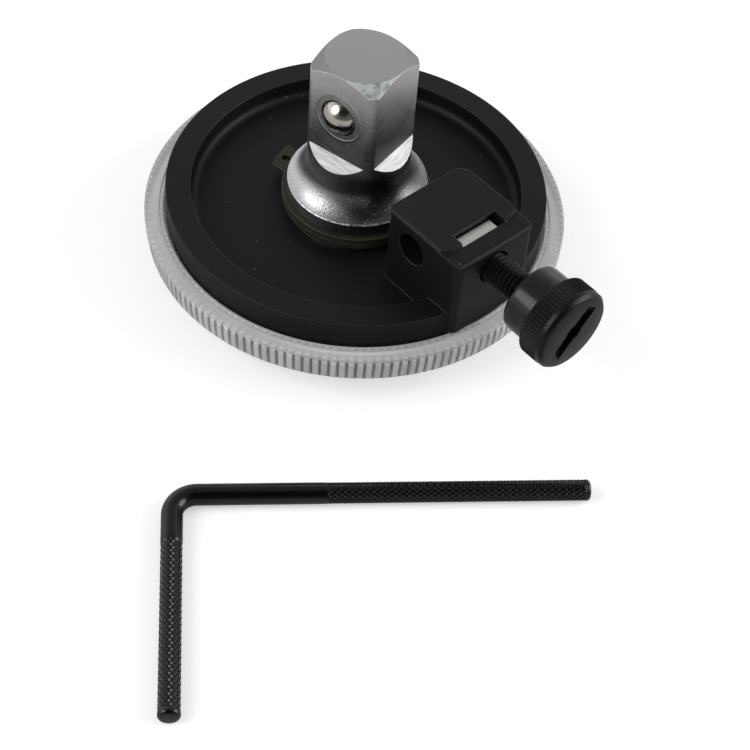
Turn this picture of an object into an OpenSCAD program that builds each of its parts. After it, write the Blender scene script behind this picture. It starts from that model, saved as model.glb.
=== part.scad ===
// Torque angle gauge: a square drive that turns in a held housing and shows the angle on a dial.
// The gauge lies face down. Z is the drive axis, and X points along the clamp screw.

/* [Square drive] */
// Width across the flats of the male square
drive_af = 12.7; // [12.5:0.05:12.75]
// Play across the flats of the female square
socket_play = 0.1; // [0.05:0.05:0.3]
// Depth of the female square
socket_depth = 15.7; // [12:0.1:16]
// Length of the male square above its sloped ledges
drive_length = 15.5; // [14:0.1:17]
// Radius of the turned corners and the neck
neck_r = 8.2; // [7.9:0.05:8.6]
// Turn of the square about the drive axis, as photographed
drive_turn = 13; // [0:1:89]
// Height of the chamfer on the end of the square
drive_chamfer = 1.4; // [0.8:0.1:2]
// Radius of the flat end left inside the chamfer
drive_end_r = 6.2; // [5.6:0.1:6.3]

/* [Spindle] */
// Radius of the journal in the housing
journal_r = 11.2; // [11:0.05:11.5]
// Running clearance between the journal and the housing
journal_clear = 0.06; // [0.03:0.01:0.1]
// Width of the hub's shoulder outside the journal
shoulder_w = 2.3; // [2:0.1:2.8]
// How far the hub stands out of the clear cover
hub_proud = 5; // [4:0.1:5.5]
// Journal left bare between the retaining ring and the flare's edge
journal_bare = 2.1; // [1.5:0.1:3]
// Height of the neck's sloped ledges above the flare's edge
ledge_rise = 9.1; // [8:0.1:10]
// Radius of the concave flare
flare_r = 5; // [4:0.1:6]

/* [Detent] */
// Radius of the detent ball
ball_r = 3.175; // [2.9:0.025:3.3]
// How far the ball stands out of the flat
ball_proud = 1.7; // [1.3:0.05:1.8]
// Clearance between the ball and its hole
ball_clear = 0.05; // [0.03:0.01:0.1]
// Distance of the ball from the end of the square
ball_from_end = 7.9; // [7:0.1:9]
// Depth of the ball's hole below the flat
ball_hole_depth = 10; // [9:0.1:11]
// Wire radius of the detent spring
spring_wire_r = 0.25; // [0.2:0.05:0.3]
// Turns of the detent spring
spring_turns = 5; // [4:1:7]

/* [Clear cover and dial] */
// Width of the cover outside the housing, at its face
cover_wall = 3.1; // [2.8:0.1:4]
// Growth of the edge's radius towards the back
cover_draft = 0.36; // [0.1:0.02:0.5]
// Height of the cover from its face to its back
cover_h = 4.33; // [4.2:0.01:4.6]
// Thickness of the clear face
window_t = 1.3; // [1:0.1:1.4]
// Thickness of the dial plate
dial_t = 0.6; // [0.5:0.1:0.8]
// Play of the dial plate in the cover's groove
dial_play = 0.05; // [0.03:0.01:0.1]
// Thickness of the pointer
pointer_t = 0.6; // [0.4:0.1:0.7]
// Reach of the pointer's tip from the drive axis
pointer_reach = 28.4; // [24:0.1:29]
// Thickness of the front friction washer
front_friction_t = 0.3; // [0.2:0.05:0.4]
// Thickness of the rear friction washer
rear_friction_t = 0.4; // [0.3:0.05:0.6]
// Gap at each face that rubs
rub_gap = 0.02; // [0.01:0.01:0.05]
// Air between curved faces that turn past each other
turn_gap = 0.35; // [0.3:0.05:0.5]

/* [Housing] */
// Outer radius of the housing
housing_r = 30.5; // [30:0.1:31]
// Height of the rim above the housing's front face
rim_h = 5.1; // [4.8:0.1:6]
// Width of the rim
rim_w = 4; // [3:0.1:5]
// Thickness of the floor in the recess
floor_t = 1.8; // [1.5:0.1:2.2]
// Radius at the foot of the recess's wall
floor_round = 1.3; // [0.8:0.1:1.6]

/* [Back washers] */
// Height of the wave washer
wave_h = 0.8; // [0.6:0.1:1]
// Sheet thickness of the wave washer
wave_t = 0.3; // [0.2:0.05:0.4]
// Thickness of the flat washer
washer_t = 0.9; // [0.7:0.1:1.2]
// Width of the flat washer and the retaining ring outside the journal
ring_land = 0.8; // [0.7:0.1:1.2]
// Thickness of the retaining ring
ring_t = 1; // [0.8:0.1:1.2]
// Reach of the retaining ring's lugs outside the ring
lug_out = 2.4; // [2:0.1:2.5]
// Direction of the gap between the lugs
ring_turn = 180; // [0:1:359]

/* [Rod clamp] */
// Gap between the retaining ring and the block's inner face
block_gap = 3; // [2.7:0.1:3.5]
// How far the block's outer face stands out of the housing's edge
block_out = 0.5; // [0.3:0.1:1]
// Width of the block
block_w = 15.4; // [14:0.1:17]
// Offset of the block's middle from the clamp screw
block_y = 0.2; // [0:0.05:0.4]
// Height of the block's top above the rim
block_rise = 11; // [10:0.1:12]
// Radius of the block's inner corner on the bore's open side
block_round_in = 1.3; // [1:0.1:2.5]
// Radius of the block's other inner corner
block_round_far = 2.2; // [1.5:0.1:2.5]
// Radius of the block's outer corners
block_round_out = 1.2; // [1:0.1:3]
// Radius of the plateau's outer corners
plateau_round = 1.8; // [1.2:0.1:3.2]
// Height of the plateau above the strip round it
plateau_h = 0.5; // [0.3:0.05:0.8]
// Radius along the strip's outer edge
strip_round = 0.9; // [0.5:0.1:1.2]
// Width of the flat on the plateau's lit edge
plateau_flat = 0.4; // [0.2:0.05:0.45]
// Radius of the bore that takes the rod
bore_r = 2.7; // [2.5:0.05:2.9]
// Place of the bore as a share of the block's length
bore_share = 0.3625; // [0.34:0.0025:0.38]
// Depth of the bore's axis below the block's top
bore_drop = 4.4; // [4.2:0.1:5]
// Radius of the screw's thread
stud_r = 2.5; // [2.3:0.05:2.6]
// Clearance between the screw and the nut
nut_clear = 0.06; // [0.03:0.01:0.1]
// Clearance between the screw and its hole in the block
hole_clear = 0.35; // [0.3:0.05:0.4]
// Width of the square nut
nut_w = 7; // [7:0.1:8]
// Thickness of the square nut
nut_t = 1.9; // [1.7:0.1:2]
// Width of the nut's slot along the screw
slot_t = 2.4; // [2.2:0.1:2.6]
// Length of the nut's slot across the screw
slot_w = 8.6; // [8.2:0.1:9]
// Offset of the slot's middle from the clamp screw
slot_y = 0.5; // [0:0.05:0.5]
// Wall between the bore and the nut's slot
slot_wall = 1.9; // [1.5:0.1:2.1]

/* [Thumbscrew] */
// Radius of the knurled head
head_r = 6.75; // [6:0.05:7.5]
// Length of the knurled head
head_l = 4.7; // [4:0.1:6]
// Radius of the plain collar
collar_r = 5.6; // [4.5:0.1:5.9]
// Length of the plain collar
collar_l = 4.7; // [3.5:0.1:6]
// Thread left in view between the block and the collar
thread_gap = 7.5; // [7:0.1:9]
// Length of the pad in front of the screw
pad_l = 1; // [0.8:0.1:1.2]
// Turn of the screwdriver slot from level
slot_turn = 47; // [0:1:180]
// Length of the screwdriver slot
driver_slot_l = 9.7; // [8:0.1:10.5]
// Width of the screwdriver slot
driver_slot_w = 2.4; // [1.2:0.1:2.6]

/* [Reaction rod] */
// Diameter of the rod
rod_d = 3.2; // [3:0.1:4]
// Length of the long leg from the bend's corner
rod_long = 61.5; // [50:0.1:100]
// Length of the short leg from the bend's corner
rod_short = 36.9; // [25:0.1:60]
// Bend radius on the rod's axis
rod_bend_r = 3.6; // [2.5:0.1:8]
// Direction of the long leg on the table
rod_turn = 52.4; // [45:0.1:60]
// Place of the bend's corner on the table, along X
rod_x = 23.85; // [20:0.01:30]
// Place of the bend's corner on the table, along Y
rod_y = -55.01; // [-70:0.01:-50]

/* [Hidden] */
$fn = 96;
eps = 0.01;

// Heights from the front end of the hub to the end of the square
window_z = hub_proud + window_t;
shoulder_z = window_z + turn_gap + pointer_t;
dial_z = shoulder_z + front_friction_t + rub_gap;
dial_top_z = dial_z + dial_t;
housing_z = dial_top_z + rear_friction_t + rub_gap;
floor_z = housing_z + floor_t;
rim_z = housing_z + rim_h;
wave_z = floor_z + rub_gap;
washer_z = wave_z + wave_h;
ring_z = washer_z + washer_t;
groove_top_z = ring_z + ring_t + 0.1;
flare_z = groove_top_z + journal_bare;
ledge_z = flare_z + ledge_rise;
drive_top_z = ledge_z + drive_length;

// Spindle
hub_r = journal_r + shoulder_w;
bore_hub_r = journal_r + journal_clear;
groove_r = journal_r - 0.7;
socket_af = drive_af + socket_play;
socket_groove_r = socket_af / 2 + 0.9;
flare_rise = sqrt(pow(flare_r, 2) - pow(neck_r + flare_r - journal_r, 2));
flare_start = acos((neck_r + flare_r - journal_r) / flare_r);
free_bore_r = journal_r + turn_gap;
ball_turn = drive_turn - 90;
ball_z = drive_top_z - ball_from_end;
ball_y = drive_af / 2 + ball_proud - ball_r;
spring_r = ball_r - ball_clear - spring_wire_r - 0.35;
spring_y0 = drive_af / 2 - ball_hole_depth + spring_wire_r;
spring_seat = sqrt(pow(ball_r + spring_wire_r, 2) - pow(spring_r, 2));
spring_y1 = ball_y - spring_seat;

// Cover and dial
cover_r = housing_r + cover_wall;
cover_top_z = hub_proud + cover_h;
dial_r = housing_r + 0.8;
bead_r = housing_r + turn_gap;
pointer_z = window_z + turn_gap;
pointer_ring_r = hub_r + 2.1;

// Back washers
ring_r = journal_r + ring_land;
lug_reach = ring_r + lug_out;

// Clamp
block_x0 = ring_r + block_gap;
block_x1 = housing_r + block_out;
bore_x = block_x0 + bore_share * (block_x1 - block_x0);
block_z = rim_z + block_rise;
block_strip_z = block_z - plateau_h;
clamp_z = block_z - bore_drop;
slot_x0 = bore_x + bore_r + slot_wall;
nut_x0 = slot_x0 + (slot_t - nut_t) / 2;
plateau_x1 = slot_x0 + slot_t - 0.3;
screw_hole_r = stud_r + hole_clear;
pad_x0 = bore_x + bore_r + 0.3;
stud_x0 = pad_x0 + pad_l;
pad_stem_r = 1;
collar_x = block_x1 + thread_gap;
head_x = collar_x + collar_l;
head_end_x = head_x + head_l;
stud_x1 = head_end_x - 1.9;
press = 0.01;
cutter_r = 9;
drill_r = 1.6;

// A flat ring from z0 upwards
module ring(r_in, r_out, z0, t) {
    translate([0, 0, z0])
        difference() {
            cylinder(r = r_out, h = t);
            translate([0, 0, -eps]) cylinder(r = r_in, h = t + 2 * eps);
        }
}

// A cylinder along +X that starts at x on the clamp's axis
module along_x(x, r, l) {
    translate([x, 0, clamp_z]) rotate([0, 90, 0]) cylinder(r = r, h = l);
}

// Plan of the clamp block from its inner face to x1, with rounded corners
module block_plan(x1, r_outer) {
    y0 = block_y - block_w / 2;
    y1 = block_y + block_w / 2;
    corners = [[block_x0, y1, block_round_far], [block_x0, y0, block_round_in],
               [x1, y1, r_outer], [x1, y0, r_outer]];
    difference() {
        translate([block_x0, y0]) square([x1 - block_x0, block_w]);
        for (c = corners) {
            sx = c[0] == block_x0 ? 1 : -1;
            sy = c[1] > 0 ? -1 : 1;
            translate([c[0], c[1]])
                difference() {
                    translate([sx > 0 ? -1 : -c[2], sy > 0 ? -1 : -c[2]]) square(c[2] + 1);
                    translate([sx * c[2], sy * c[2]]) circle(r = c[2]);
                }
        }
    }
}

// Side view of the clamp block below its plateau, with a rounded outer edge
module block_side() {
    arc = [for (i = [0 : 8])
           [block_x1 - strip_round * (1 - cos(90 * i / 8)),
            block_strip_z - strip_round * (1 - sin(90 * i / 8))]];
    polygon(concat([[block_x0 - 1, floor_z - 1], [block_x1 + 1, floor_z - 1],
                    [block_x1 + 1, block_strip_z - strip_round]],
                   arc, [[block_x0 - 1, block_strip_z]]));
}

// Section of the recess, rounded at the foot of its wall
module recess_section() {
    r = housing_r - rim_w;
    arc = [for (i = [0 : 8])
           [r - floor_round * (1 - sin(90 * i / 8)), floor_z + floor_round * (1 - cos(90 * i / 8))]];
    polygon(concat([[0, floor_z]], arc, [[r, rim_z + 1], [0, rim_z + 1]]));
}

// Black moulded housing: rim, recess, bearing bore and clamp block
module body_housing() {
    color([0.13, 0.13, 0.14])
    difference() {
        union() {
            translate([0, 0, housing_z]) cylinder(r = housing_r, h = rim_h);
            intersection() {
                translate([0, 0, floor_z - 0.5])
                    linear_extrude(block_z) block_plan(block_x1, block_round_out);
                translate([0, block_w, 0])
                    rotate([90, 0, 0]) linear_extrude(2 * block_w) block_side();
            }
            translate([0, 0, block_strip_z - 1])
                linear_extrude(1 + plateau_h) block_plan(plateau_x1, plateau_round);
        }
        // recess, which leaves the block standing
        difference() {
            rotate_extrude() recess_section();
            linear_extrude(3 * rim_z) block_plan(block_x1, block_round_out);
        }
        translate([0, 0, housing_z - eps]) cylinder(r = bore_hub_r, h = rim_h);
        // rod bore, screw hole and nut slot
        translate([bore_x, block_w, clamp_z]) rotate([90, 0, 0]) cylinder(r = bore_r, h = 2 * block_w);
        along_x(bore_x, screw_hole_r, block_x1);
        translate([slot_x0, slot_y - slot_w / 2, clamp_z - nut_w / 2])
            cube([slot_t, slot_w, block_z]);
        // flat along the plateau's edge
        translate([block_x0 - 1, block_y - block_w / 2, block_z]) rotate([45, 0, 0])
            translate([0, -2, -plateau_flat / sqrt(2)]) cube([block_x1, 4, 2]);
    }
}

// Section of the spindle's turned shape, from the hub to the end of the square
module spindle_section() {
    arc_x = neck_r + flare_r;
    arc_z = flare_z + flare_rise;
    flare = [for (i = [0 : 12])
             let (a = flare_start * (1 - i / 12))
             [arc_x - flare_r * cos(a), arc_z - flare_r * sin(a)]];
    polygon(concat([[0, 0], [hub_r - 0.6, 0], [hub_r, 0.6], [hub_r, shoulder_z],
                    [journal_r, shoulder_z], [journal_r, ring_z], [groove_r, ring_z],
                    [groove_r, groove_top_z], [journal_r, groove_top_z]],
                   flare,
                   [[neck_r, drive_top_z - drive_chamfer], [drive_end_r, drive_top_z],
                    [0, drive_top_z]]));
}

// Side view of two flats with the sloped ledges they run out on
module flats_side() {
    half = drive_af / 2;
    low = ledge_z + half - 2 * hub_r;
    polygon([[-half, drive_top_z + 1], [-half, ledge_z], [-2 * hub_r, low], [-2 * hub_r, -1],
             [2 * hub_r, -1], [2 * hub_r, low], [half, ledge_z], [half, drive_top_z + 1]]);
}

// Puts the ball's axis on +Y, with the flat's normal outwards, then turns it to its flat
module at_ball() {
    rotate([0, 0, ball_turn - 90]) translate([0, 0, ball_z]) children();
}

// Plated steel drive: female square in the hub, journal, flare and male square
module drive_spindle() {
    color([0.72, 0.73, 0.74])
    difference() {
        intersection() {
            rotate_extrude() spindle_section();
            for_flats = 4 * hub_r;
            rotate([0, 0, drive_turn])
                intersection() {
                    translate([0, for_flats / 2, 0])
                        rotate([90, 0, 0]) linear_extrude(for_flats) flats_side();
                    rotate([0, 0, 90]) translate([0, for_flats / 2, 0])
                        rotate([90, 0, 0]) linear_extrude(for_flats) flats_side();
                }
        }
        rotate([0, 0, drive_turn]) translate([-socket_af / 2, -socket_af / 2, -1])
            cube([socket_af, socket_af, socket_depth + 1]);
        translate([0, 0, 0.4 * socket_depth]) cylinder(r = socket_groove_r, h = socket_depth / 4);
        // ball hole, closed over the ball by its staked mouth
        at_ball() translate([0, ball_y, 0]) sphere(r = ball_r + ball_clear);
        at_ball() translate([0, ball_y, 0]) rotate([90, 0, 0])
            cylinder(r = ball_r + ball_clear, h = ball_y + ball_hole_depth - drive_af / 2);
    }
}

// Steel ball of the detent
module detent_ball() {
    color([0.8, 0.8, 0.82]) at_ball() translate([0, ball_y, 0]) sphere(r = ball_r);
}

// Coil behind the ball, as a tube along a helix
module detent_spring() {
    steps = 20 * spring_turns;
    sides = 8;
    pitch = (spring_y1 - spring_y0) / spring_turns;
    points = [for (i = [0 : steps])
              let (a = 360 * spring_turns * i / steps)
              for (k = [0 : sides - 1])
              let (b = 360 * k / sides, r = spring_r + spring_wire_r * cos(b))
              [r * cos(a), spring_y0 + pitch * a / 360 + spring_wire_r * sin(b), r * sin(a)]];
    walls = [for (i = [0 : steps - 1]) for (k = [0 : sides - 1])
             let (a = i * sides + k, b = i * sides + (k + 1) % sides)
             [a, b, b + sides, a + sides]];
    first = [for (k = [0 : sides - 1]) sides - 1 - k];
    last = [for (k = [0 : sides - 1]) steps * sides + k];
    color([0.6, 0.6, 0.62]) at_ball()
        polyhedron(points, concat([first], walls, [last]), convexity = 8);
}

// Spring washer with three waves, between the housing and the flat washer
module wave_washer() {
    steps = 72;
    half = (wave_h - wave_t) / 2;
    corners = [[journal_r + 0.15, 0], [ring_r - 0.3, 0], [ring_r - 0.3, wave_t], [journal_r + 0.15, wave_t]];
    points = [for (i = [0 : steps - 1])
              let (a = 360 * i / steps, z = wave_z + half * (1 + cos(3 * a)))
              for (c = corners) [c[0] * cos(a), c[0] * sin(a), z + c[1]]];
    faces = [for (i = [0 : steps - 1]) for (k = [0 : 3])
             let (j = (i + 1) % steps, m = (k + 1) % 4)
             [4 * i + k, 4 * i + m, 4 * j + m, 4 * j + k]];
    color([0.5, 0.5, 0.48]) polyhedron(points, faces, convexity = 6);
}

// Flat washer under the retaining ring
module flat_washer() {
    color([0.33, 0.32, 0.27]) ring(journal_r + 0.1, ring_r, washer_z, washer_t);
}

// Spring-steel retaining ring with two lugs and their plier holes
module retaining_ring() {
    gap = 20;
    lug_w = 5;
    plier_r = ring_r + 0.7;
    color([0.33, 0.32, 0.27])
    translate([0, 0, ring_z]) rotate([0, 0, ring_turn])
    linear_extrude(ring_t)
    difference() {
        union() {
            circle(r = ring_r);
            for (side = [-1, 1])
                rotate(side * gap / 2)
                    intersection() {
                        translate([groove_r, side > 0 ? 0 : -lug_w]) square(lug_w);
                        circle(r = lug_reach);
                    }
        }
        circle(r = groove_r + 0.05);
        for (side = [-1, 1])
            rotate(side * gap / 2) translate([plier_r, side * lug_w / 2]) circle(r = 0.8);
        polygon([[0, 0], [2 * ring_r * cos(gap / 2), -2 * ring_r * sin(gap / 2)],
                 [2 * ring_r * cos(gap / 2), 2 * ring_r * sin(gap / 2)]]);
    }
}

// Hand on the hub, between the clear face and the dial
module pointer() {
    color([0.8, 0.1, 0.08])
    translate([0, 0, pointer_z])
    linear_extrude(pointer_t)
    difference() {
        union() {
            circle(r = pointer_ring_r);
            polygon([[0, -1.4], [pointer_reach - 3, -0.7], [pointer_reach, 0],
                     [pointer_reach - 3, 0.7], [0, 1.4]]);
        }
        circle(r = hub_r - press);
    }
}

// Thin washer that the spindle's shoulder presses on the dial
module front_friction_washer() {
    color([0.85, 0.82, 0.7]) ring(journal_r + 0.1, hub_r - 0.1, shoulder_z, front_friction_t);
}

// Clear cover: face, fluted wall, dial groove and back lip
module clear_cover() {
    groove_r_out = dial_r + dial_play;
    color([0.85, 0.87, 0.87, 0.5])
    rotate_extrude()
    polygon([[hub_r + turn_gap, hub_proud], [cover_r - 0.3, hub_proud], [cover_r, hub_proud + 0.3],
             [cover_r + cover_draft, cover_top_z - 0.25], [cover_r + cover_draft - 0.3, cover_top_z],
             [bead_r + 0.8, cover_top_z], [bead_r + 0.6, cover_top_z - 0.2], [bead_r + 0.4, cover_top_z],
             [bead_r, cover_top_z], [bead_r, dial_top_z], [groove_r_out, dial_top_z],
             [groove_r_out, dial_z], [bead_r - 0.5, dial_z], [bead_r - 0.5, window_z],
             [hub_r + turn_gap, window_z]]);
}

// White plate with the degree scale
module dial_plate() {
    color([0.93, 0.93, 0.91]) ring(free_bore_r, dial_r, dial_z, dial_t);
}

// Thin washer between the dial and the housing
module rear_friction_washer() {
    color([0.85, 0.82, 0.7]) ring(free_bore_r, journal_r + 3.8, dial_top_z, rear_friction_t);
}

// Square nut in the block's slot
module square_nut() {
    color([0.74, 0.76, 0.72])
    difference() {
        translate([nut_x0, -nut_w / 2, clamp_z - nut_w / 2]) cube([nut_t, nut_w, nut_w]);
        along_x(nut_x0 - 1, stud_r + nut_clear, nut_t + 2);
    }
}

// Tip that bears on the rod and turns freely in the stud's end
module screw_pad() {
    color([0.72, 0.58, 0.3]) {
        along_x(pad_x0, stud_r - 0.3, pad_l - rub_gap);
        along_x(pad_x0 + pad_l - 0.1, pad_stem_r, 2);
    }
}

// Threaded stud of the thumbscrew
module clamp_stud() {
    tip = 0.5;
    color([0.1, 0.1, 0.1])
    difference() {
        translate([stud_x0, 0, clamp_z]) rotate([0, 90, 0])
            rotate_extrude()
            polygon([[0, 0], [stud_r - tip, 0], [stud_r, tip], [stud_r, stud_x1 - stud_x0],
                     [0, stud_x1 - stud_x0]]);
        along_x(stud_x0 - 1, pad_stem_r + 0.05, 3.2);
    }
}

// Knurled head with its collar and a slot left by a round cutter
module clamp_knob() {
    edge = 0.5;
    cutter_x = head_end_x + sqrt(pow(cutter_r, 2) - pow(driver_slot_l / 2, 2));
    color([0.14, 0.14, 0.14])
    difference() {
        translate([collar_x, 0, clamp_z]) rotate([0, 90, 0])
            rotate_extrude()
            polygon([[0, 0], [collar_r - 0.8, 0], [collar_r, 0.8], [collar_r, collar_l],
                     [head_r - edge, collar_l], [head_r, collar_l + edge],
                     [head_r, collar_l + head_l - edge], [head_r - edge, collar_l + head_l],
                     [0, collar_l + head_l]]);
        along_x(collar_x - 1, stud_r - press, stud_x1 - collar_x + 1);
        along_x(collar_x, drill_r, 3 * head_l);
        translate([cutter_x, 0, clamp_z]) rotate([slot_turn, 0, 0])
            translate([0, 0, -driver_slot_w / 2]) cylinder(r = cutter_r, h = driver_slot_w);
    }
}

// One leg of the rod from the end of the bend, with a chamfered tip
module rod_leg(length) {
    r = rod_d / 2;
    tip = 0.5;
    rotate([0, 90, 0]) rotate_extrude()
        polygon([[0, 0], [r, 0], [r, length - tip], [r - tip, length], [0, length]]);
}

// L-shaped rod on the table, with its corner at the crossing of the two axes
module reaction_rod() {
    color([0.06, 0.06, 0.07])
    translate([rod_x, rod_y, rod_d / 2]) rotate([0, 0, rod_turn]) {
        translate([rod_bend_r, 0, 0]) rod_leg(rod_long - rod_bend_r);
        translate([0, -rod_bend_r, 0]) rotate([0, 0, -90]) rod_leg(rod_short - rod_bend_r);
        translate([rod_bend_r, -rod_bend_r, 0]) rotate([0, 0, 90])
            rotate_extrude(angle = 90) translate([rod_bend_r, 0]) circle(d = rod_d);
    }
}

body_housing();
drive_spindle();
detent_ball();
detent_spring();
wave_washer();
flat_washer();
retaining_ring();
pointer();
front_friction_washer();
clear_cover();
dial_plate();
rear_friction_washer();
square_nut();
screw_pad();
clamp_stud();
clamp_knob();
reaction_rod();
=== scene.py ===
import math

import bpy
from mathutils import Matrix, Vector


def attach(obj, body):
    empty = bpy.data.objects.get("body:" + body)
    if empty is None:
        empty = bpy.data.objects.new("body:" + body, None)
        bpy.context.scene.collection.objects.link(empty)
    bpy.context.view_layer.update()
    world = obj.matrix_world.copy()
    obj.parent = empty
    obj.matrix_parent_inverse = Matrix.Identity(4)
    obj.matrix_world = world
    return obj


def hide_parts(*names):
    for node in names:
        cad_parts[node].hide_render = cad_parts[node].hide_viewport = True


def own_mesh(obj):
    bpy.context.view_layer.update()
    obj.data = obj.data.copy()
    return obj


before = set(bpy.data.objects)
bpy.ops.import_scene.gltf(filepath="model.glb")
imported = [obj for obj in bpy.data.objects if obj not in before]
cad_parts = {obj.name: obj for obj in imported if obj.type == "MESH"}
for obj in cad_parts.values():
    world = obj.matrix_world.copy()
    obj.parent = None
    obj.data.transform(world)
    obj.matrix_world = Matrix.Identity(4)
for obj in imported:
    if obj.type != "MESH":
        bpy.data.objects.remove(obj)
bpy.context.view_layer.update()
mm = 0.001


# Housing
# The black disc with its raised rim, shallow recess and clamp block is moulded in one
# piece from filled nylon. It has a fine satin grain, a round ejector mark in the recess
# and a few specks of dust. Its edges are painted lighter, partly as rubbed wear and
# partly as a painted edge highlight.

class Field:
    """A value that varies over a surface. Arithmetic on it adds Math nodes."""

    def __init__(self, finish, socket):
        self.finish = finish
        self.socket = socket

    def also(self, name):
        return Field(self.finish, self.socket.node.outputs[name])

    def maths(self, operation, *values):
        return self.finish.node("ShaderNodeMath", {"operation": operation}, dict(enumerate(values)))

    def __add__(self, other):
        return self.maths("ADD", self, other)

    __radd__ = __add__

    def __sub__(self, other):
        return self.maths("SUBTRACT", self, other)

    def __rsub__(self, other):
        return self.maths("SUBTRACT", other, self)

    def __mul__(self, other):
        return self.maths("MULTIPLY", self, other)

    __rmul__ = __mul__

    def __truediv__(self, other):
        return self.maths("DIVIDE", self, other)

    def __pow__(self, other):
        return self.maths("POWER", self, other)

    def __lt__(self, other):
        return self.maths("LESS_THAN", self, other)

    def __gt__(self, other):
        return self.maths("GREATER_THAN", self, other)

    def __abs__(self):
        return self.maths("ABSOLUTE", self)

    def most(self, *others):
        """The largest of this value and the others."""
        most = self
        for other in others:
            most = self.maths("MAXIMUM", most, other)
        return most

    def fade(self, low, high):
        """0 below low, 1 above high, and a smooth step between them."""
        return self.finish.node("ShaderNodeMapRange", {"interpolation_type": "SMOOTHSTEP"},
                                {"Value": self, "From Min": low, "From Max": high})


class Nodes:
    """A node tree, in which nodes are made and joined."""

    def __init__(self, tree):
        self.tree = tree

    def join(self, made, sockets):
        for name, value in sockets.items():
            if isinstance(value, Field):
                self.tree.links.new(value.socket, made.inputs[name])
            else:
                made.inputs[name].default_value = value

    def node(self, kind, settings={}, sockets={}, out=0):
        made = self.tree.nodes.new(kind)
        for name, value in settings.items():
            setattr(made, name, value)
        self.join(made, sockets)
        return Field(self, made.outputs[out])


class Finish(Nodes):
    """A procedural material on one Principled shader, read in Object coordinates."""

    def __init__(self, name, sockets):
        self.material = bpy.data.materials.new(name)
        self.material.use_nodes = True
        super().__init__(self.material.node_tree)
        self.shader = self.tree.nodes["Principled BSDF"]
        self.join(self.shader, sockets)
        self.place = self.node("ShaderNodeTexCoord", out="Object")

    def feed(self, **sockets):
        self.join(self.shader, {name.replace("_", " "): value for name, value in sockets.items()})

    def noise(self, scale, detail=2.0, vector=None):
        return self.node("ShaderNodeTexNoise", {},
                         {"Vector": vector or self.place, "Scale": scale, "Detail": detail})

    def mix(self, amount, a, b):
        return self.node("ShaderNodeMix", {"data_type": "RGBA"}, {0: amount, 6: a, 7: b}, out=2)

    def stretched(self, scale, turn=(0, 0, 0)):
        return self.node("ShaderNodeMapping", {},
                         {"Vector": self.place, "Rotation": turn, "Scale": scale})

    def rounded(self, radius):
        """Normals that roll over a sharp edge, and a value that rises towards that edge."""
        normal = self.node("ShaderNodeBevel", {"samples": 8}, {"Radius": radius})
        face = self.node("ShaderNodeNewGeometry", out="Normal")
        level = self.node("ShaderNodeVectorMath", {"operation": "DOT_PRODUCT"},
                          {0: normal, 1: face}, out="Value")
        return normal, 1 - level

    def bumped(self, height, depth, strength=1.0, normal=None):
        sockets = {"Height": height, "Distance": depth, "Strength": strength}
        if normal:
            sockets["Normal"] = normal
        return self.node("ShaderNodeBump", {}, sockets)

    def specks(self, scale, size, share):
        """Round specks in some of the cells of a cell pattern."""
        cell = self.node("ShaderNodeTexVoronoi", {}, {"Vector": self.place, "Scale": scale})
        chance = self.node("ShaderNodeSeparateColor", {}, {"Color": cell.also("Color")})
        return (cell < size) * (chance < share)

    def dress(self, *names):
        for name in names:
            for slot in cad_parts[name].material_slots:
                slot.material = self.material


recess_floor = 10.39 * mm
floor_band = 0.05 * mm
mark_x, mark_y, mark_r = -21.5 * mm, -9.7 * mm, 2.4 * mm
mark_edge = 0.15 * mm
grain_depth = 0.02 * mm

nylon = Finish("black_nylon", {"Specular IOR Level": 0.19})
x = nylon.node("ShaderNodeSeparateXYZ", {}, {"Vector": nylon.place})
y, z = x.also("Y"), x.also("Z")
edge_normal, edge = nylon.rounded(0.3 * mm)
cloud = nylon.noise(140, 4)
grain = nylon.noise(7000, 2)
on_floor = (z > recess_floor - floor_band) * (z < recess_floor + floor_band)
from_mark = ((x - mark_x) ** 2 + (y - mark_y) ** 2) ** 0.5
mark = (1 - from_mark.fade(mark_r - mark_edge, mark_r + mark_edge)) * on_floor
dust = nylon.specks(900, 0.13, 0.03) + nylon.specks(420, 0.05, 0.05)
body_colour = nylon.mix(cloud, (0.0042, 0.0043, 0.005, 1), (0.0075, 0.0076, 0.0086, 1))
# Edges painted lighter: partly rubbed wear, partly a painted edge highlight.
rubbed_and_painted_edge_light = nylon.mix(edge.fade(0.004, 0.1) * 0.6, body_colour, (0.045, 0.046, 0.05, 1))
nylon.feed(Base_Color=nylon.mix(dust * 0.22, rubbed_and_painted_edge_light, (0.5, 0.5, 0.5, 1)),
           Roughness=0.34 + 0.14 * cloud + 0.1 * grain - edge * 0.3,
           Normal=nylon.bumped(grain * 0.5 - mark * 2, grain_depth, 0.6, edge_normal))
nylon.dress("body_housing")


# Drive spindle
# One steel turning: hub with the female square, journal, flare, and the male square
# milled on its end. It is satin nickel plated, with turning rings below the ledges,
# faint milling lines on the flats and coarse plating on the lower part of the flare.
# The flats are painted paler towards the top as a painted reflection, and the flare and
# hub are painted darker towards +X as painted shade.
square_turn = math.radians(13)
ledge_height = 24.4 * mm
edge_height = 15.3 * mm
square_end = 39.91 * mm
end_skin = 0.5 * mm
chamfer_reach = 6 * mm
ledge_drop, ledge_rise = 2.5 * mm, 1 * mm

dull_flat = (0.3, 0.305, 0.31, 1)
dull_flare = (0.4, 0.405, 0.41, 1)
nickel = (0.68, 0.685, 0.69, 1)
painted_highlight_nickel = (0.85, 0.855, 0.85, 1)
end_grey = (0.465, 0.472, 0.48, 1)
chamfer_grey = (0.25, 0.255, 0.26, 1)
dent_grey = (0.52, 0.555, 0.555, 1)
ledge_dark, ledge_pale = (0.16, 0.162, 0.166, 1), (0.25, 0.253, 0.258, 1)
crust_and_shade_brown = (0.05, 0.048, 0.046, 1)
burr_white = (0.92, 0.92, 0.92, 1)

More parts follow.
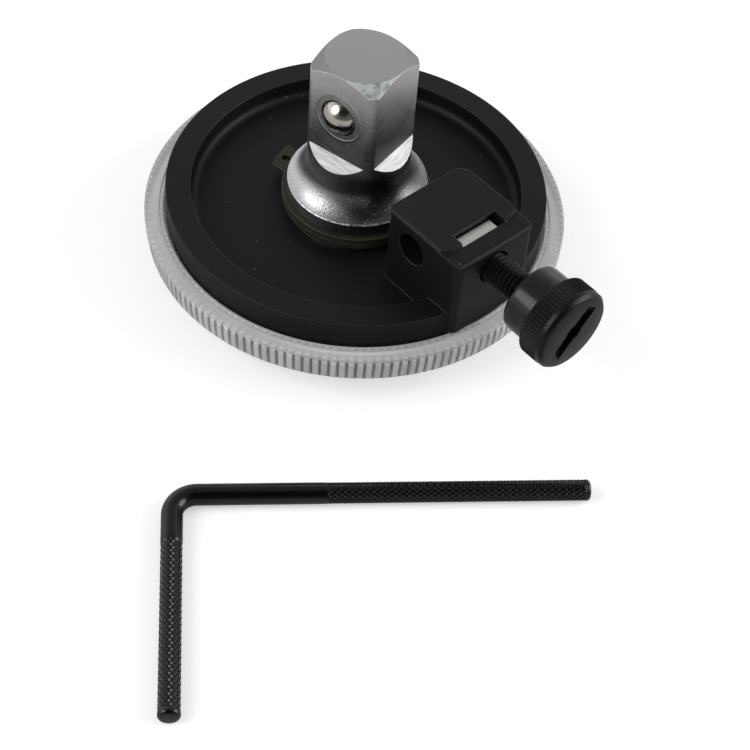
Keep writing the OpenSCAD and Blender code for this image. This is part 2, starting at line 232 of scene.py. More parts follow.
plate = Finish("satin_nickel", {})
x = plate.node("ShaderNodeSeparateXYZ", {}, {"Vector": plate.place})
y, z = x.also("Y"), x.also("Z")
radius = (x ** 2 + y ** 2) ** 0.5
edge_normal, edge = plate.rounded(0.16 * mm)
below = 1 - z.fade(ledge_height - 3 * mm, ledge_height - 1 * mm)
slope = plate.node("ShaderNodeNewGeometry", out="Normal")
slope = plate.node("ShaderNodeSeparateXYZ", {}, {"Vector": slope}, out="Z")
on_top = slope.fade(0.9, 0.96) * (z > square_end - end_skin)
chamfer = slope.fade(0.2, 0.4) * (1 - on_top) * (z > square_end - chamfer_reach)
dented = chamfer * (0.85 * x - 0.53 * y).fade(3 * mm, 6 * mm)
ledge = slope.fade(0.4, 0.6) * (z > ledge_height - ledge_drop) * (z < ledge_height + ledge_rise)
turning = plate.node("ShaderNodeTexNoise", {"noise_dimensions": "1D"},
                     {"W": (z + radius) * 5200, "Scale": 1.0, "Detail": 2.0})
milling = plate.noise(2400, 3, plate.stretched((0.16, 0.16, 3.0), (0.03, 0.03, square_turn)))
cloud = plate.noise(260, 4)
lower = 1 - z.fade(edge_height + 0.6 * mm, edge_height + 4.5 * mm)
# Painted shade: everything below the ledges is painted darker towards +X.
painted_shade_right = below * x.fade(-1 * mm, 7 * mm)
crust = plate.noise(4600, 3).fade(0.44, 0.6) * lower
crust = crust * plate.noise(170, 1).fade(0.25, 0.5) * x.fade(-5 * mm, 3 * mm)
spark = plate.specks(2600, 0.22, 0.45) * below
lines = turning * below + milling * (1 - below)
grit = plate.noise(5200, 2).fade(0.35, 0.65)
scratches = milling.fade(0.36, 0.64)
sides = plate.mix(0.25 * cloud + 0.4 * scratches + 0.35 * grit, dull_flat, nickel)
# Painted reflection: the flats are painted paler towards the top.
painted_paler_top = z.fade(ledge_height + 3 * mm, square_end - 2 * mm) * 0.5
sides = plate.mix(painted_paler_top, sides, painted_highlight_nickel)
flare = plate.mix(0.5 * cloud + 0.5 * grit, dull_flare, nickel)
silver = plate.mix(below, plate.mix(on_top, sides, end_grey), flare)
# The brown darkens the coarse plating crust and, as painted shade, the +X side below the ledges.
silver = plate.mix((crust * 0.8).most(painted_shade_right * 0.75), silver, crust_and_shade_brown)
silver = plate.mix(ledge, silver, plate.mix(scratches, ledge_dark, ledge_pale))
silver = plate.mix(chamfer, silver, chamfer_grey)
silver = plate.mix(dented * plate.noise(900, 3).fade(0.35, 0.6), silver, dent_grey)
burr = edge.fade(0.004, 0.08) * plate.noise(1300, 2).fade(0.32, 0.55)
burr = burr * (z < square_end - 0.25 * mm)
on_edge = 1 - z.fade(edge_height + 0.05 * mm, edge_height + 0.2 * mm)
on_edge = on_edge * (z > edge_height - 0.1 * mm)
nicks = on_edge * (0.5 * x - 0.87 * y).fade(6 * mm, 9 * mm) * plate.noise(1500, 2).fade(0.4, 0.55)
silver = plate.mix((burr.most(nicks) * 0.8).most(spark * 0.6), silver, burr_white)
rough = 0.2 + 0.12 * cloud + 0.1 * lines + 0.15 * crust
plate.feed(Base_Color=silver,
           Roughness=rough - 0.06 * on_top + 0.2 * chamfer,
           Metallic=1 - 0.7 * chamfer,
           Normal=plate.bumped(lines + crust * 1.5 + spark, 0.015 * mm, 0.7, edge_normal))
plate.dress("drive_spindle")


# Detent ball
# A bearing ball with fine scratches, held in its hole by metal staked over its edge.
# The staking tool leaves a shallow dished ring in the flat of the square, and a dark ring
# painted on it round the ball is a painted shadow of the gap.
ball_turn = square_turn - math.pi / 2
ball_height = 32.01 * mm
flat_reach = 6.35 * mm
gap_shadow_inner, gap_shadow_outer = 3.05 * mm, 3.2 * mm
weld = 0.001 * mm
outward = Vector((math.cos(ball_turn), math.sin(ball_turn), 0))
ball_level = Vector((0, 0, ball_height))
ball_axis = outward.to_track_quat("Z", "Y").to_euler()

ball_finish = Finish("polished_ball", {"Metallic": 1.0})
scratch = ball_finish.noise(1600, 4, ball_finish.stretched((1, 6, 1)))
ball_finish.feed(Base_Color=ball_finish.mix(scratch, (0.52, 0.49, 0.44, 1), (0.62, 0.59, 0.54, 1)),
                 Roughness=0.12 + 0.08 * scratch.fade(0.45, 0.7),
                 Normal=ball_finish.bumped(scratch, 0.004 * mm, 0.4))
ball_finish.dress("detent_ball")


def chosen(piece, *others):
    """Selects a piece, and others with it, and makes the piece the active one."""
    bpy.ops.object.select_all(action="DESELECT")
    for part in (piece, *others):
        part.select_set(True)
    bpy.context.view_layer.objects.active = piece


def closed_up(merge, fill=True):
    """Merges points of the active piece, fills its open ends and turns its faces outwards."""
    bpy.ops.object.mode_set(mode="EDIT")
    bpy.ops.mesh.select_all(action="SELECT")
    bpy.ops.mesh.remove_doubles(threshold=merge)
    if fill:
        bpy.ops.mesh.fill_holes(sides=0)
    bpy.ops.mesh.select_all(action="SELECT")
    bpy.ops.mesh.normals_make_consistent(inside=False)
    bpy.ops.object.mode_set(mode="OBJECT")


def turned(name, outline, steps, closed=False, capped=True):
    """Draws a circle out ring by ring along Z, as on a lathe; the outline is (radius, height)."""
    bpy.ops.object.select_all(action="DESELECT")
    radius, height = outline[0]
    bpy.ops.mesh.primitive_circle_add(vertices=steps, radius=radius)
    piece = bpy.context.object
    piece.name = piece.data.name = name
    bpy.ops.object.mode_set(mode="EDIT")
    bpy.ops.transform.translate(value=(0, 0, height))
    for next_radius, next_height in outline[1:] + outline[:1] * closed:
        bpy.ops.mesh.extrude_region_move(
            TRANSFORM_OT_translate={"value": (0, 0, next_height - height)})
        grow = next_radius / radius
        bpy.ops.transform.resize(value=(grow, grow, 1), center_override=(0, 0, next_height))
        radius, height = next_radius, next_height
    closed_up(weld, fill=capped and not closed)
    return piece


def placed(piece, spot=(0, 0, 0), turn=(0, 0, 0)):
    """Moves a piece to its place and puts that place in its mesh."""
    chosen(piece)
    piece.location = spot
    piece.rotation_euler = turn
    bpy.ops.object.transform_apply(location=True, rotation=True, scale=True)
    return piece


def finished(piece, finish, body, stands_for=None, smooth=32):
    """Shades a piece smooth, gives it its material and body, and hides the CAD node that it stands
    for.
    """
    chosen(piece)
    bpy.ops.object.shade_smooth_by_angle(angle=math.radians(smooth))
    piece.data.materials.clear()
    piece.data.materials.append(finish.material)
    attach(piece, body)
    if stands_for:
        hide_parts(stands_for)


staking = turned("ball_staking", [(r * mm, h * mm) for r, h in (
    (2.88, -0.03), (2.9, 0.01), (3.0, 0.02), (3.7, 0.015), (3.86, 0.015),
    (3.94, 0.06), (4.0, 0.065), (4.7, -0.02))], 96, closed=True)
placed(staking, outward * flat_reach + ball_level, ball_axis)
staked = Finish("staked_steel", {"Metallic": 1.0})
drag = staked.noise(1900, 3)
x = staked.node("ShaderNodeSeparateXYZ", {}, {"Vector": staked.place})
across = x.also("Y") * math.cos(ball_turn) - x * math.sin(ball_turn)
off_centre = across ** 2 + (x.also("Z") - ball_height) ** 2
# Painted shadow: a dark ring round the ball, where the gap between ball and staking lies.
painted_gap_shadow = 1 - off_centre.fade(gap_shadow_inner ** 2, gap_shadow_outer ** 2)
metal = staked.mix(drag, (0.36, 0.36, 0.35, 1), (0.62, 0.62, 0.6, 1))
staked.feed(Base_Color=staked.mix(painted_gap_shadow, metal, (0.015, 0.014, 0.012, 1)),
            Roughness=0.24 + 0.14 * drag,
            Normal=staked.bumped(drag, 0.01 * mm, 0.5))
finished(staking, staked, "spindle", smooth=25)


# Detent spring and wave washer
# A coil behind the ball and a waved washer under the flat washer, both of drawn
# spring steel with a thin brown oil film. The coil shortens when the ball is pressed in.
coil_r = 2.525 * mm
wire_r = 0.25 * mm
coil_turns = 5
coil_start = -3.4 * mm
coil_length = 5.961 * mm

spring_finish = Finish("oiled_spring_steel", {"Metallic": 1.0})
film = spring_finish.noise(700, 3)
drawn = spring_finish.noise(5000, 2)
spring_finish.feed(Base_Color=spring_finish.mix(film, (0.3, 0.28, 0.25, 1), (0.46, 0.45, 0.43, 1)),
                   Roughness=0.25 + 0.2 * film,
                   Normal=spring_finish.bumped(drawn, 0.004 * mm, 0.4))
spring_finish.dress("wave_washer")

bpy.ops.object.select_all(action="DESELECT")
bpy.ops.mesh.primitive_circle_add(vertices=12, radius=wire_r, rotation=(math.pi / 2, 0, 0),
                                  location=(coil_r, 0, 0))
coil = bpy.context.object
coil.name = coil.data.name = "detent_coil"
bpy.ops.object.transform_apply(location=True, rotation=True, scale=True)
wind = coil.modifiers.new("wind", "SCREW")
wind.screw_offset = coil_length / coil_turns
wind.iterations = coil_turns
wind.steps = wind.render_steps = 40
bpy.ops.object.modifier_apply(modifier="wind")
closed_up(weld)
placed(coil, outward * coil_start + ball_level, ball_axis)
finished(coil, spring_finish, "spindle", "detent_spring", smooth=50)
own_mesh(coil)


# Flat washer and retaining ring
# Stamped spring steel with a dark olive phosphate coat, rubbed brighter at the edges.
# The ring snaps into the journal's groove and holds the stack of washers.
phosphate = Finish("olive_phosphate", {"Metallic": 0.2, "Specular IOR Level": 0.15})
edge_normal, edge = phosphate.rounded(0.12 * mm)
mottle = phosphate.noise(1500, 4)
coat = phosphate.mix(mottle, (0.018, 0.017, 0.012, 1), (0.05, 0.048, 0.036, 1))
phosphate.feed(Base_Color=phosphate.mix(edge.fade(0.01, 0.2) * 0.6, coat, (0.3, 0.29, 0.25, 1)),
               Roughness=0.38 + 0.25 * mottle,
               Normal=phosphate.bumped(phosphate.noise(4200, 3), 0.01 * mm, 0.5, edge_normal))
phosphate.dress("flat_washer", "retaining_ring")


# Pointer
# A thin red hand, moulded in plastic and pressed on the hub behind the clear face, so
# that it turns with the drive over the scale.
hand = Finish("red_hand", {"Specular IOR Level": 0.5})
edge_normal = hand.rounded(0.12 * mm)[0]
tint = hand.noise(300, 3)
hand.feed(Base_Color=hand.mix(tint, (0.50, 0.022, 0.016, 1), (0.60, 0.035, 0.024, 1)),
          Roughness=0.32 + 0.12 * tint,
          Normal=hand.bumped(hand.noise(6000, 2), 0.006 * mm, 0.4, edge_normal))
hand.dress("pointer")


# Friction washers
# Two thin washers punched from fibre sheet. They lie loose on both sides of the dial
# and let it turn stiffly, so that it stays where it is set.
fibre = Finish("fibre_sheet", {"Specular IOR Level": 0.3})
strands = fibre.noise(1800, 5, fibre.stretched((1, 4, 1)))
fibre.feed(Base_Color=fibre.mix(strands, (0.46, 0.41, 0.29, 1), (0.68, 0.64, 0.5, 1)),
           Roughness=0.7 + 0.2 * strands,
           Normal=fibre.bumped(strands, 0.02 * mm, 0.5))
fibre.dress("front_friction_washer", "rear_friction_washer")


# Clear cover
# A moulded cover of clear plastic: flat face, fluted wall to grip, a flat hazy back and
# a groove inside that snaps over the dial plate. It is turned by hand to set zero.
# The rim's colour carries painted light: painted shade in the flute grooves, over the
# flutes on the back and along the back's inner groove, a painted edge highlight at the
# back's outer edge, and painted glints on the ribs.
flutes = 156
flute_steps = 10
flute_depth = 0.5 * mm
notch_depth = 0.1 * mm
wall_low, lip_under = 5.2 * mm, 8.78 * mm
lip_low, lip_high = 8.95 * mm, 9.4 * mm
wall_inner, wall_r = 33.55 * mm, 33.7 * mm
back_level = 9.2 * mm
clear_r, hazy_r = 30.3 * mm, 30.6 * mm
inner_line, outer_line = 31.3 * mm, 33.5 * mm

cover = turned("fluted_cover", [(r * mm, h * mm) for r, h in (
    (13.85, 5.0), (33.3, 5.0), (33.5, 5.08), (33.6, 5.3), (33.64, 5.6), (33.88, 7.5),
    (33.9, 8.0), (33.86, 8.72), (33.76, 8.82), (33.78, 8.92), (33.94, 9.0), (33.96, 9.08),
    (33.9, 9.2), (33.74, 9.3), (33.66, 9.33), (31.66, 9.33), (31.6, 9.3), (31.45, 9.14),
    (31.3, 9.3), (31.24, 9.33), (30.95, 9.33), (30.86, 9.28), (30.85, 8.17), (31.35, 8.17),
    (31.35, 7.57), (30.35, 7.57), (30.35, 6.3), (13.85, 6.3))],
    flutes * flute_steps, closed=True)


def pick(piece, wanted):
    """Selects the points of a piece that are wanted, and leaves it in edit mode."""
    bpy.ops.object.mode_set(mode="EDIT")
    bpy.ops.mesh.select_mode(type="VERT")
    bpy.ops.mesh.select_all(action="DESELECT")
    bpy.ops.object.mode_set(mode="OBJECT")
    for point in piece.data.vertices:
        point.select = wanted(point.co)
    bpy.ops.object.mode_set(mode="EDIT")


def step_round(co, count):
    """The number of a point's step, of so many round the axis."""
    return round(math.atan2(co.y, co.x) / (2 * math.pi) * count) % count


for step, deep, low, high in ((4, 0.5 * flute_depth, wall_low, lip_under),
                              (5, flute_depth, wall_low, lip_under),
                              (5, notch_depth, lip_low, lip_high)):
    pick(cover, lambda co: math.hypot(co.x, co.y) > wall_inner and low < co.z < high
         and step_round(co, flutes * flute_steps) % flute_steps in (step, flute_steps - step))
    shrink = 1 - deep / wall_r
    bpy.ops.transform.resize(value=(shrink, shrink, 1), center_override=(0, 0, 0))
    bpy.ops.object.mode_set(mode="OBJECT")

clear = Finish("clear_plastic", {"Transmission Weight": 0.96, "IOR": 1.49,
                                 "Specular IOR Level": 0.5})
x = clear.node("ShaderNodeSeparateXYZ", {}, {"Vector": clear.place})
y, z = x.also("Y"), x.also("Z")
radius = (x ** 2 + y ** 2) ** 0.5
flute_turn = x.maths("ARCTAN2", y, x) * (flutes / (2 * math.pi))
groove = 1 - abs(flute_turn.maths("FRACT", flute_turn) - 0.5).fade(0.05, 0.35)
on_back = z > back_level
haze = clear.noise(220, 3)
bright = clear.mix(haze, (0.93, 0.935, 0.93, 1), (0.97, 0.97, 0.965, 1))
milky_and_painted_light = clear.mix(haze, (0.72, 0.725, 0.72, 1), (0.82, 0.82, 0.815, 1))
# Painted shade: the back is painted darker over the flutes, in stripes that follow the grooves.
painted_flute_shade = radius.fade(32.4 * mm, 32.6 * mm) * on_back
milky_and_painted_light = clear.mix(painted_flute_shade * (0.2 + 0.12 * groove), milky_and_painted_light, (0.4, 0.4, 0.41, 1))
# Painted shade and highlight: dark dashes along the back's inner groove and outer edge, and white
# on the ribs at the outer edge.
painted_groove_shade_line = (abs(radius - inner_line) < 0.08 * mm) * on_back
painted_edge_light_line = (abs(radius - outer_line) < 0.07 * mm) * on_back
milky_and_painted_light = clear.mix(painted_groove_shade_line.most(painted_edge_light_line) * groove * 0.4, milky_and_painted_light, (0.2, 0.2, 0.21, 1))
milky_and_painted_light = clear.mix(painted_edge_light_line * (1 - groove) * 0.7, milky_and_painted_light, (0.97, 0.97, 0.97, 1))
glint = clear.node("ShaderNodeTexNoise", {"noise_dimensions": "1D"},
                   {"W": flute_turn * 0.37, "Scale": 1.0})
# Painted shade in the wall's flute grooves, and painted glints in white on the ribs.
milky_and_painted_light = clear.mix((1 - on_back) * groove * 0.38, milky_and_painted_light, (0.2, 0.2, 0.22, 1))
milky_and_painted_light = clear.mix((1 - on_back) * (1 - groove) * glint.fade(0.4, 0.6), milky_and_painted_light, (0.97, 0.97, 0.97, 1))
clear.feed(Base_Color=bright, Roughness=0.02 + 0.04 * haze,
           Normal=clear.bumped(clear.noise(900, 2), 0.002 * mm, 0.3))
rim = clear.node("ShaderNodeBsdfPrincipled", {}, {
    "Base Color": milky_and_painted_light, "Roughness": 0.12 + 0.14 * haze,
    "Transmission Weight": 0.45, "IOR": 1.49,
    "Normal": clear.bumped(clear.noise(3500, 3), 0.008 * mm, 0.4)})
blend = clear.node("ShaderNodeMixShader", {}, {
    0: radius.fade(clear_r, hazy_r), 1: Field(clear, clear.shader.outputs[0]), 2: rim})
clear.join(clear.tree.nodes["Material Output"], {"Surface": blend})
finished(cover, clear, "dial", "clear_cover", smooth=40)


# Dial plate
# A thin white plate that sits in the cover's groove, with a printed scale of degrees
# read through the clear face: a line each 2 degrees and numbers each 30.
scale_r = 29.8 * mm
printed_side = 7.7 * mm
number_r = 23.6 * mm
number_size = 3.4 * mm
number_level = 7.555 * mm

paper = Finish("printed_dial", {"Specular IOR Level": 0.35})
x = paper.node("ShaderNodeSeparateXYZ", {}, {"Vector": paper.place})
y, z = x.also("Y"), x.also("Z")
radius = (x ** 2 + y ** 2) ** 0.5
degrees = x.maths("ARCTAN2", y, x) * (180 / math.pi)


def scale_lines(every, inner, width):
    """Lines at each step of degrees, from an inner radius to the scale's outer circle."""
    step = degrees / every + 0.5
    off = abs(step.maths("FRACT", step) - 0.5) * every
    return (off * radius * (math.pi / 180) < width / 2) * (radius > inner) * (radius < scale_r)


ring_line = abs(radius - scale_r) < 0.09 * mm
ink = scale_lines(2, 28.2 * mm, 0.22 * mm).most(
    scale_lines(10, 27.2 * mm, 0.32 * mm), scale_lines(30, 26.2 * mm, 0.5 * mm), ring_line)
ink = ink * (z < printed_side)
shade = paper.noise(240, 3)
white = paper.mix(shade, (0.78, 0.78, 0.76, 1), (0.85, 0.85, 0.83, 1))
paper.feed(Base_Color=paper.mix(ink, white, (0.02, 0.02, 0.022, 1)),
           Roughness=0.42 + 0.15 * shade,
           Normal=paper.bumped(paper.noise(3000, 2), 0.006 * mm, 0.4))
paper.dress("dial_plate")

ink_finish = Finish("dial_ink", {"Specular IOR Level": 0.4})
wear = ink_finish.noise(2600, 3)
ink_finish.feed(Base_Color=ink_finish.mix(wear, (0.014, 0.014, 0.016, 1), (0.03, 0.03, 0.032, 1)),
                Roughness=0.4 + 0.2 * wear)
for number in range(0, 360, 30):
    bpy.ops.object.select_all(action="DESELECT")
    bpy.ops.object.text_add()
    text = bpy.context.object
    text.name = f"dial_number_{number}"
    text.data.body = str(number)
    text.data.size = number_size
    text.data.align_x = "CENTER"
    text.data.align_y = "CENTER"
    text.data.extrude = 0.012 * mm
    bpy.ops.object.convert(target="MESH")
    around = math.radians(number - 90)
    placed(text, (-math.sin(around) * number_r, math.cos(around) * number_r, number_level),
           (0, math.pi, around))
    finished(text, ink_finish, "dial")


# Square nut
# A stamped steel nut with a bright zinc coat. It is dropped into the slot of the clamp
# block, which keeps it from turning, and the stud runs through it.
zinc = Finish("bright_zinc", {"Metallic": 1.0})
edge_normal = zinc.rounded(0.2 * mm)[0]
spangle = zinc.noise(1100, 4)
zinc.feed(Base_Color=zinc.mix(spangle, (0.56, 0.585, 0.53, 1), (0.76, 0.775, 0.73, 1)),
          Roughness=0.3 + 0.2 * spangle,
          Normal=zinc.bumped(zinc.noise(2800, 3), 0.01 * mm, 0.5, edge_normal))
zinc.dress("square_nut")


# Screw pad
# A small turned brass tip that sits loose in the stud's end, so that the screw presses
# on the rod without turning on it or marking it.
brass = Finish("turned_brass", {"Metallic": 1.0})
edge_normal = brass.rounded(0.12 * mm)[0]
tarnish = brass.noise(900, 4)
brass.feed(Base_Color=brass.mix(tarnish, (0.46, 0.32, 0.12, 1), (0.66, 0.5, 0.22, 1)),
           Roughness=0.25 + 0.2 * tarnish,
           Normal=brass.bumped(brass.noise(3000, 2), 0.006 * mm, 0.4, edge_normal))
brass.dress("screw_pad")


# Clamp stud
# The thumbscrew's steel stud with a rolled M5 thread and a black oxide coat. Its inner
# end carries the pad, and its outer end is pressed into the knurled head.
clamp_height = 20.29 * mm
stud_start = 24.8 * mm
thread_pitch = 0.8 * mm
thread_r = 2.49 * mm
thread_depth = 0.46 * mm
thread_start = 0.9 * mm
thread_turns = 17
flank = 0.5 * mm
flank_scale = 0.84
crest_round = 0.05 * mm
knurl_end, knurl_inner = 46.6 * mm, 6 * mm
collar_end, collar_inner = 43 * mm, 4 * mm


def black_oxide(name, shine, wear):
    """Blackened steel: rough on the knurl, glossy on the collar, rubbed lighter at its edges."""
    finish = Finish(name, {"Specular IOR Level": shine, "Coat Roughness": 0.14})
    edge_normal, edge = finish.rounded(0.18 * mm)
    smudge = finish.noise(420, 4)
    pits = finish.noise(3600, 3)
    x = finish.node("ShaderNodeSeparateXYZ", {}, {"Vector": finish.place})
    from_axis = (x.also("Y") ** 2 + (x.also("Z") - clamp_height) ** 2) ** 0.5
    knurl = (x < knurl_end) * (from_axis > knurl_inner)
    collar = (x < collar_end) * (from_axis > collar_inner)
    oxide = finish.mix(smudge, (0.0025, 0.0025, 0.0027, 1), (0.006, 0.006, 0.0062, 1))
    rubbed = edge.fade(0.006, 0.12) * (wear - wear * 0.6 * knurl)
    finish.feed(Base_Color=finish.mix(rubbed, oxide, (0.09, 0.09, 0.092, 1)),
                Roughness=0.2 + 0.12 * smudge + 0.08 * pits + 0.25 * knurl - 0.14 * collar,
                Metallic=0.03 + 0.06 * smudge,
                Coat_Weight=collar * (0.25 + 0.2 * smudge),
                Normal=finish.bumped(pits, 0.01 * mm, 0.4, edge_normal))
    return finish


stud = turned("threaded_stud", [(r * mm, h * mm) for r, h in (
    (1.05, 2.2), (1.05, 0.0), (1.7, 0.0), (2.06, 0.36), (2.06, 21.2))], 64)
bpy.ops.object.select_all(action="DESELECT")
bpy.ops.mesh.primitive_circle_add(vertices=4, radius=flank, rotation=(math.pi / 2, 0, 0),
                                  location=(thread_r - thread_depth, 0, thread_start))
thread = bpy.context.object
thread.scale = (1.0, flank_scale, 1.0)
bpy.ops.object.transform_apply(location=True, rotation=True, scale=True)
pick(thread, lambda co: co.x > thread_r - 0.1 * mm)
bpy.ops.mesh.bevel(offset=crest_round, segments=2, affect="VERTICES")
bpy.ops.object.mode_set(mode="OBJECT")
helix = thread.modifiers.new("helix", "SCREW")
helix.axis = "Z"
helix.screw_offset = thread_pitch
helix.iterations = thread_turns
helix.steps = helix.render_steps = 48
bpy.ops.object.modifier_apply(modifier="helix")
closed_up(weld)
chosen(stud, thread)
bpy.ops.object.join()
placed(stud, (stud_start, 0, clamp_height), (0, math.pi / 2, 0))
finished(stud, black_oxide("thread_oxide", 0.06, 0.12), "thumbscrew",
         "clamp_stud", smooth=35)


# Clamp knob
# The thumbscrew's head is turned from bar, straight knurled and blackened. It has a
# plain collar, chamfers at both ends of the knurl, and a slot left by a round cutter.
knurls = 64
knurl_steps = 6
knurl_depth = 0.4 * mm
head_r = 6.75 * mm
collar_start = 38.5 * mm
head_end = 47.9 * mm
slot_turn = math.radians(47)
slot_width = 2.4 * mm
slot_length = 9.7 * mm
cutter_r = 9 * mm
drill_r, drill_depth = 1.6 * mm, 3 * mm

knob = turned("knurled_head", [(r * mm, h * mm) for r, h in (
    (2.49, 7.4), (2.49, 0.0), (4.75, 0.0), (5.2, 0.1), (5.5, 0.4), (5.6, 0.85), (5.6, 4.6),
    (5.62, 4.7), (6.3, 4.7), (6.5, 4.78), (6.75, 5.0), (6.75, 7.9), (6.66, 8.1), (6.66, 8.78),
    (6.4, 9.12), (6.2, 9.34), (6.05, 9.4), (3.0, 9.4))],
    knurls * knurl_steps)
for step in (1, 2, 3):
    deep = knurl_depth * (0.5 - 0.5 * math.cos(2 * math.pi * step / knurl_steps))
    pick(knob, lambda co: math.hypot(co.x, co.y) > head_r - 0.05 * mm
         and step_round(co, knurls * knurl_steps) % knurl_steps in (step, knurl_steps - step))
    shrink = 1 - deep / head_r
    bpy.ops.transform.resize(value=(shrink, shrink, 1), center_override=(0, 0, 0))
    bpy.ops.object.mode_set(mode="OBJECT")
placed(knob, (collar_start, 0, clamp_height), (0, math.pi / 2, 0))

slot_centre = head_end + math.sqrt(cutter_r ** 2 - (slot_length / 2) ** 2)
for tool, size, depth, spot, turn in (
        ("slot_cutter", cutter_r, slot_width, (slot_centre, 0, clamp_height), (slot_turn, 0, 0)),
        ("centre_drill", drill_r, drill_depth, (head_end - 0.1 * mm, 0, clamp_height),
         (0, math.pi / 2, 0))):
    bpy.ops.object.select_all(action="DESELECT")
    bpy.ops.mesh.primitive_cylinder_add(vertices=144, radius=size, depth=depth,
                                        location=spot, rotation=turn)
    cutter = bpy.context.object
    chosen(knob)
    cut = knob.modifiers.new(tool, "BOOLEAN")
    cut.operation = "DIFFERENCE"
    cut.solver = "EXACT"
    cut.object = cutter
    bpy.ops.object.modifier_apply(modifier=tool)
    bpy.data.objects.remove(cutter)
finished(knob, black_oxide("head_oxide", 0.22, 0.4), "thumbscrew",
         "clamp_knob", smooth=32)


# Reaction rod
# A loose L-shaped rod of black gloss steel, bent cold, with a diamond knurl rolled on
# both legs, a smooth bend and rounded ends. One leg goes through the clamp's bore.
rod_r = 1.6 * mm
bend_r = 3.6 * mm
rod_corner = (23.85 * mm, -55.01 * mm, rod_r)
rod_turn = math.radians(52.4)
diamonds = 16
diamond_length = 1.05 * mm
groove_depth = 0.18 * mm
quarter = diamond_length / 4
shallow_rows = 3
tip_length = 0.6 * mm
long_smooth, long_length = 18.4 * mm, 57.9 * mm
short_smooth, short_length = 4.45 * mm, 33.3 * mm


def knurled_leg(name, smooth_part, length):
    """One leg along Z from the end of the bend: a smooth part, the knurl and a rounded tip."""
    rows = int((length - smooth_part - tip_length) / quarter)
    heights = [smooth_part + row * quarter for row in range(rows + 1)]
    outline = [(rod_r, 0.0), (rod_r, smooth_part - 0.5 * quarter)] + [(rod_r, h) for h in heights]
    outline += [(rod_r - narrow * mm, length - back * mm) for narrow, back in (
        (0, 0.55), (0.06, 0.34), (0.2, 0.16), (0.38, 0.05), (0.6, 0))]
    leg = turned(name, outline, diamonds * 4, capped=False)
    pick(leg, lambda co: co.z > length - 0.00001 * mm)
    bpy.ops.mesh.edge_face_add()
    bpy.ops.object.mode_set(mode="OBJECT")
    for raised, at_start, share in ((0, True, 0.35), (0, False, 1.0),
                                    (1, True, 0.17), (1, False, 0.5)):
        def in_groove(co):
            row = round((co.z - smooth_part) / quarter)
            if not (0 < row < rows) or math.hypot(co.x, co.y) < rod_r - 0.1 * mm:
                return False
            step = step_round(co, diamonds * 4)
            near = min((step + row) % 4, -(step + row) % 4, (step - row) % 4, -(step - row) % 4)
            return near == raised and (row < shallow_rows) == at_start
        pick(leg, in_groove)
        shrink = 1 - groove_depth * share / rod_r
        bpy.ops.transform.resize(value=(shrink, shrink, 1), center_override=(0, 0, 0))
        bpy.ops.object.mode_set(mode="OBJECT")
    return leg


long_leg = knurled_leg("rod_long_leg", long_smooth, long_length)
placed(long_leg, (bend_r, 0, 0), (0, math.pi / 2, 0))
short_leg = knurled_leg("rod_short_leg", short_smooth, short_length)
placed(short_leg, (0, -bend_r, 0), (math.pi / 2, 0, 0))
bpy.ops.object.select_all(action="DESELECT")
bpy.ops.mesh.primitive_circle_add(vertices=diamonds * 4, radius=rod_r, location=(bend_r, 0, 0),
                                  rotation=(0, math.pi / 2, 0))
rod = bpy.context.object
rod.name = rod.data.name = "knurled_rod"
bpy.ops.object.transform_apply(location=True, rotation=True, scale=True)
bpy.ops.object.mode_set(mode="EDIT")
bpy.ops.mesh.select_all(action="SELECT")
bpy.ops.mesh.spin(steps=32, angle=math.pi / 2, center=(bend_r, -bend_r, 0), axis=(0, 0, -1))
bpy.ops.object.mode_set(mode="OBJECT")
chosen(rod, long_leg, short_leg)
bpy.ops.object.join()
closed_up(10 * weld, fill=False)
placed(rod, rod_corner, (0, 0, rod_turn))

gloss = Finish("black_gloss", {"Specular IOR Level": 0.45})
scuff = gloss.noise(320, 4)
gloss.feed(Base_Color=gloss.mix(scuff, (0.0015, 0.0015, 0.0018, 1), (0.003, 0.003, 0.0035, 1)),
           Roughness=0.1 + 0.12 * scuff,
           Normal=gloss.bumped(gloss.noise(2600, 3), 0.006 * mm, 0.3))
finished(rod, gloss, "rod", "reaction_rod", smooth=28)


# Floor, lights and camera
# A plain white table, two large soft lights from the front left and from the right, and
# the photograph's camera: a long lens that looks down at the gauge's back. In mirror
# reflections the table, the ceiling and the side that the camera stands on are dimmer.
table_size = 6
table_glow = 0.42
glow_through = 1.9
dark_side = (0.866, -0.5, 0.0)
camera_side = (0.46, -0.46, 0.76)
lit_point = Vector((0, 0, 15 * mm))

bpy.ops.object.select_all(action="DESELECT")
bpy.ops.mesh.primitive_plane_add(size=table_size)
floor = bpy.context.object
floor.name = "floor"
table = Finish("white_table", {"Roughness": 0.9, "Specular IOR Level": 0.0})
rays = table.node("ShaderNodeLightPath", out="Is Camera Ray")
seen = rays.most(glow_through * rays.also("Is Transmission Ray"))
pale = table.mix(table.noise(6, 2), (0.79, 0.79, 0.79, 1), (0.81, 0.81, 0.81, 1))
table.feed(Base_Color=table.mix(rays.also("Is Glossy Ray"), pale, (0.62, 0.62, 0.62, 1)),
           Emission_Color=(1, 1, 1, 1), Emission_Strength=seen * table_glow)
floor.data.materials.append(table.material)

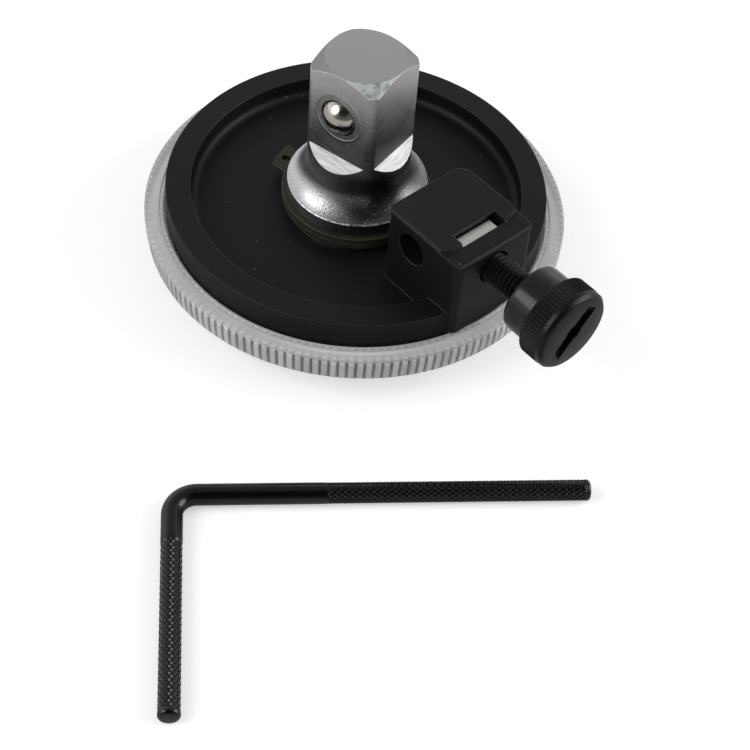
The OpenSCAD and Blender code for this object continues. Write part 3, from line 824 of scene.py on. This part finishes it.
world = bpy.data.worlds.new("studio")
bpy.context.scene.world = world
world.use_nodes = True
studio = Nodes(world.node_tree)
path = studio.node("ShaderNodeLightPath", out="Is Camera Ray")
direction = studio.node("ShaderNodeTexCoord", out="Generated")
height = studio.node("ShaderNodeSeparateXYZ", {}, {"Vector": direction}, out="Z")
shown = path.most(path.also("Is Transmission Ray"))
mirrored = path.also("Is Glossy Ray")
ceiling = 1 - 0.7 * height.fade(0.2, 1.0)
to_dark = studio.node("ShaderNodeVectorMath", {"operation": "DOT_PRODUCT"},
                      {0: direction, 1: dark_side}, out="Value")
at_camera = studio.node("ShaderNodeVectorMath", {"operation": "DOT_PRODUCT"},
                        {0: direction, 1: camera_side}, out="Value")
dim_side = (1 - 0.85 * to_dark.fade(-0.1, 0.7)) * (1 - 0.8 * at_camera.fade(0.75, 0.95))
room = 0.45 * (1 - shown.most(mirrored))
studio.join(world.node_tree.nodes["Background"], {
    "Color": (1, 1, 1, 1), "Strength": shown.most(mirrored * ceiling * dim_side, room)})

for name, spot, size, power in (("key_light", (-0.22, -0.56, 0.45), 0.6, 2.6),
                                ("side_light", (0.46, 0.51, 0.3), 0.6, 3.2)):
    lamp = bpy.data.objects.new(name, bpy.data.lights.new(name, "AREA"))
    lamp.data.shape = "DISK"
    lamp.data.size = size
    lamp.data.energy = power
    lamp.location = spot
    lamp.rotation_euler = (lit_point - Vector(spot)).to_track_quat("-Z", "Y").to_euler()
    bpy.context.scene.collection.objects.link(lamp)

camera_azimuth = math.radians(45)
camera_elevation = math.radians(49.38)
camera_roll = math.radians(5.26)
camera_distance = 300 * mm
lens, sensor = 87.99, 36
aim_right = 5.70 * mm
aim_up = -24.49 * mm
cover_face = Vector((0, 0, 5 * mm))

right = Vector((math.cos(camera_azimuth), math.sin(camera_azimuth), 0))
level_ahead = Vector((-math.sin(camera_azimuth), math.cos(camera_azimuth), 0))
ahead = level_ahead * math.cos(camera_elevation) - Vector((0, 0, math.sin(camera_elevation)))
up = right.cross(ahead)
camera = bpy.data.objects.new("camera", bpy.data.cameras.new("camera"))
camera.data.sensor_width = sensor
camera.data.lens = lens
camera.data.clip_start = 0.01
tilted_right = right * math.cos(camera_roll) + up * math.sin(camera_roll)
tilted_up = up * math.cos(camera_roll) - right * math.sin(camera_roll)
axes = Matrix((tilted_right, tilted_up, -ahead)).transposed().to_4x4()
camera.matrix_world = Matrix.Translation(
    cover_face + right * aim_right + up * aim_up - ahead * camera_distance) @ axes
bpy.context.scene.collection.objects.link(camera)
bpy.context.scene.camera = camera
bpy.context.scene.view_settings.view_transform = "Standard"
